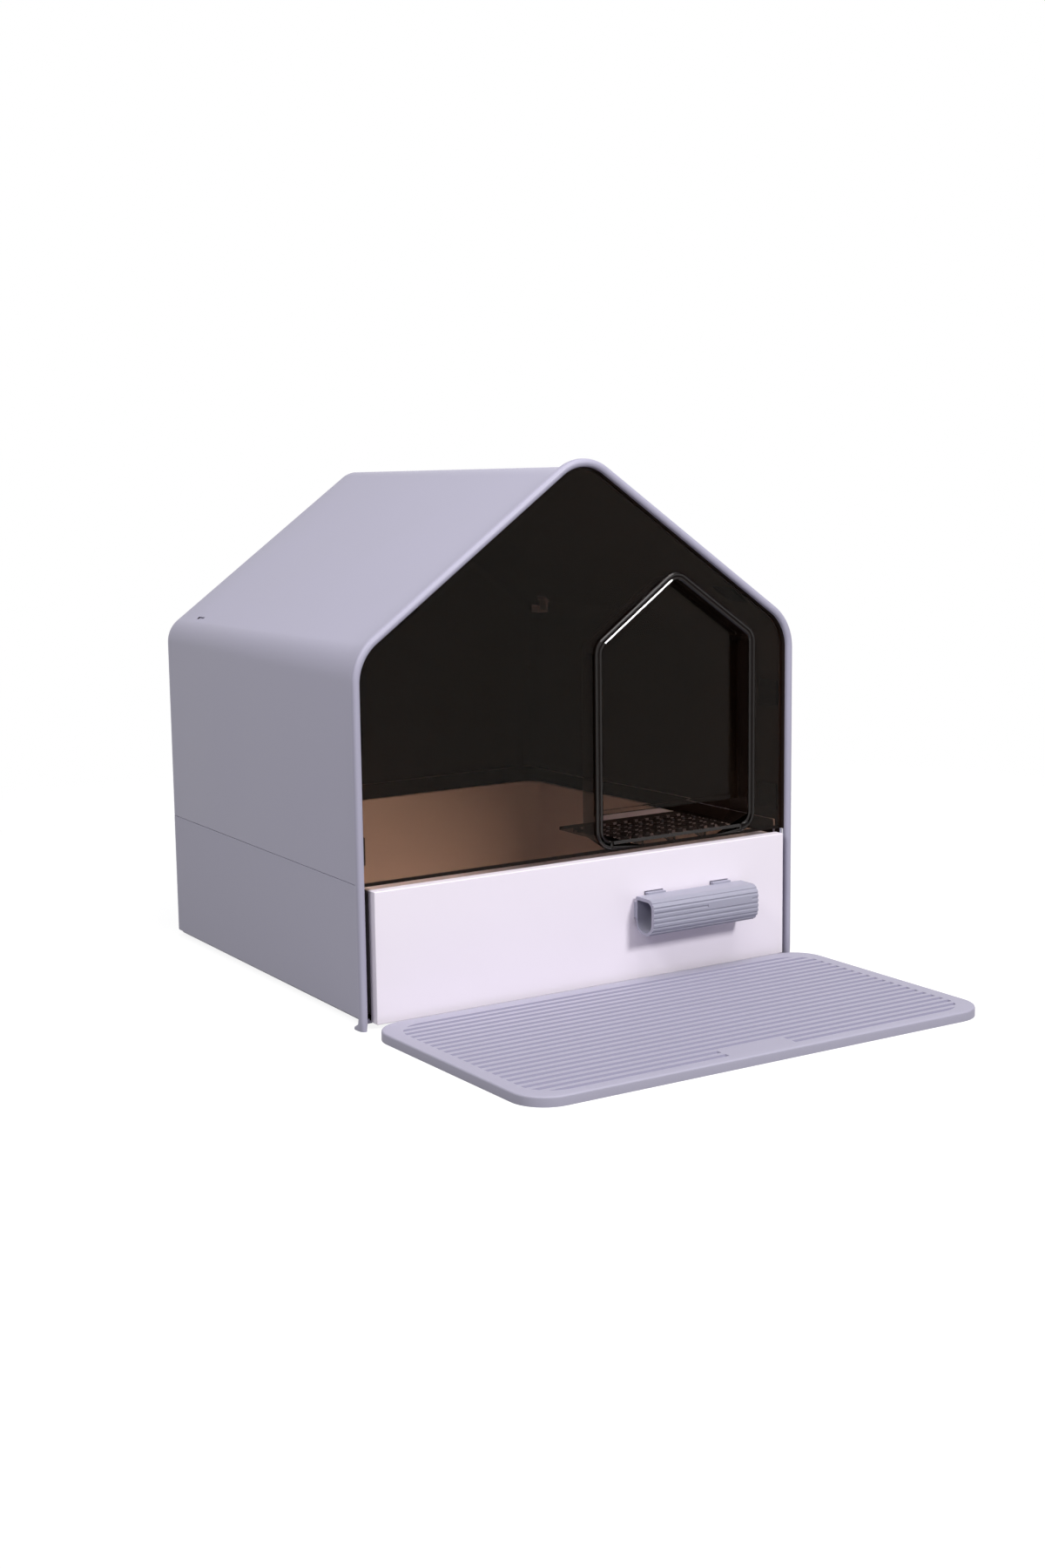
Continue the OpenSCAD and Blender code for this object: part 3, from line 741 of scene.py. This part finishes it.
def make_lights():
    for name, lamp in LAMPS.items():
        area_light(name, *lamp)
    world = bpy.data.worlds.new("studio")
    bpy.context.scene.world = world
    world.use_nodes = True
    tree = world.node_tree
    tree.nodes.clear()
    output = add(tree, "ShaderNodeOutputWorld")
    fill = add(tree, "ShaderNodeBackground", {"Color": (0.9, 0.9, 0.95, 1), "Strength": FILL})
    white = add(tree, "ShaderNodeBackground", {"Color": (1, 1, 1, 1), "Strength": 1.0})
    shader = add(tree, "ShaderNodeMixShader", links={0: seen(tree), 1: fill.outputs[0], 2: white.outputs[0]})
    tree.links.new(shader.outputs[0], output.inputs["Surface"])


def make_camera():
    camera = bpy.data.cameras.new("camera")
    camera.lens = CAMERA_LENS
    camera.sensor_width = 36
    camera.clip_end = 100
    obj = bpy.data.objects.new("camera", camera)
    bpy.context.scene.collection.objects.link(obj)
    turn = (Matrix.Rotation(-CAMERA_YAW, 4, "Z") @ Matrix.Rotation(math.pi / 2 + CAMERA_PITCH, 4, "X")
            @ Matrix.Rotation(-CAMERA_ROLL, 4, "Z"))
    obj.matrix_world = Matrix.Translation(CAMERA_PLACE) @ turn
    bpy.context.scene.camera = obj


# ---------------------------------------------------------------------- panel

STEPS = (LITTERBOX_OT_base, LITTERBOX_OT_hood, LITTERBOX_OT_window, LITTERBOX_OT_drawer, LITTERBOX_OT_mat,
         LITTERBOX_OT_stage)


class LITTERBOX_PT_panel(bpy.types.Panel):
    """Lists the steps that dress the litter box"""
    bl_idname = "LITTERBOX_PT_panel"
    bl_label = "Litter box"
    bl_space_type = "VIEW_3D"
    bl_region_type = "UI"
    bl_category = "Litter box"

    def draw(self, context):
        for group in (context.scene.litter_box_sizes, context.scene.litter_box_colours):
            for name in group.__annotations__:
                self.layout.prop(group, name)
        for step in STEPS:
            self.layout.operator(step.bl_idname)


CLASSES = (LitterBoxSizes, LitterBoxColours, *STEPS, LITTERBOX_PT_panel)


def register():
    for cls in CLASSES:
        bpy.utils.register_class(cls)
    bpy.types.Scene.litter_box_sizes = bpy.props.PointerProperty(type=LitterBoxSizes)
    bpy.types.Scene.litter_box_colours = bpy.props.PointerProperty(type=LitterBoxColours)


def unregister():
    del bpy.types.Scene.litter_box_colours
    del bpy.types.Scene.litter_box_sizes
    for cls in reversed(CLASSES):
        bpy.utils.unregister_class(cls)


def main():
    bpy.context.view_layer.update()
    register()
    scene = bpy.context.scene
    scene.view_settings.view_transform = "Standard"
    for step in STEPS:
        name = step.bl_idname.split(".")[1]
        getattr(bpy.ops.litterbox, name)()


if __name__ == "__main__":
    main()
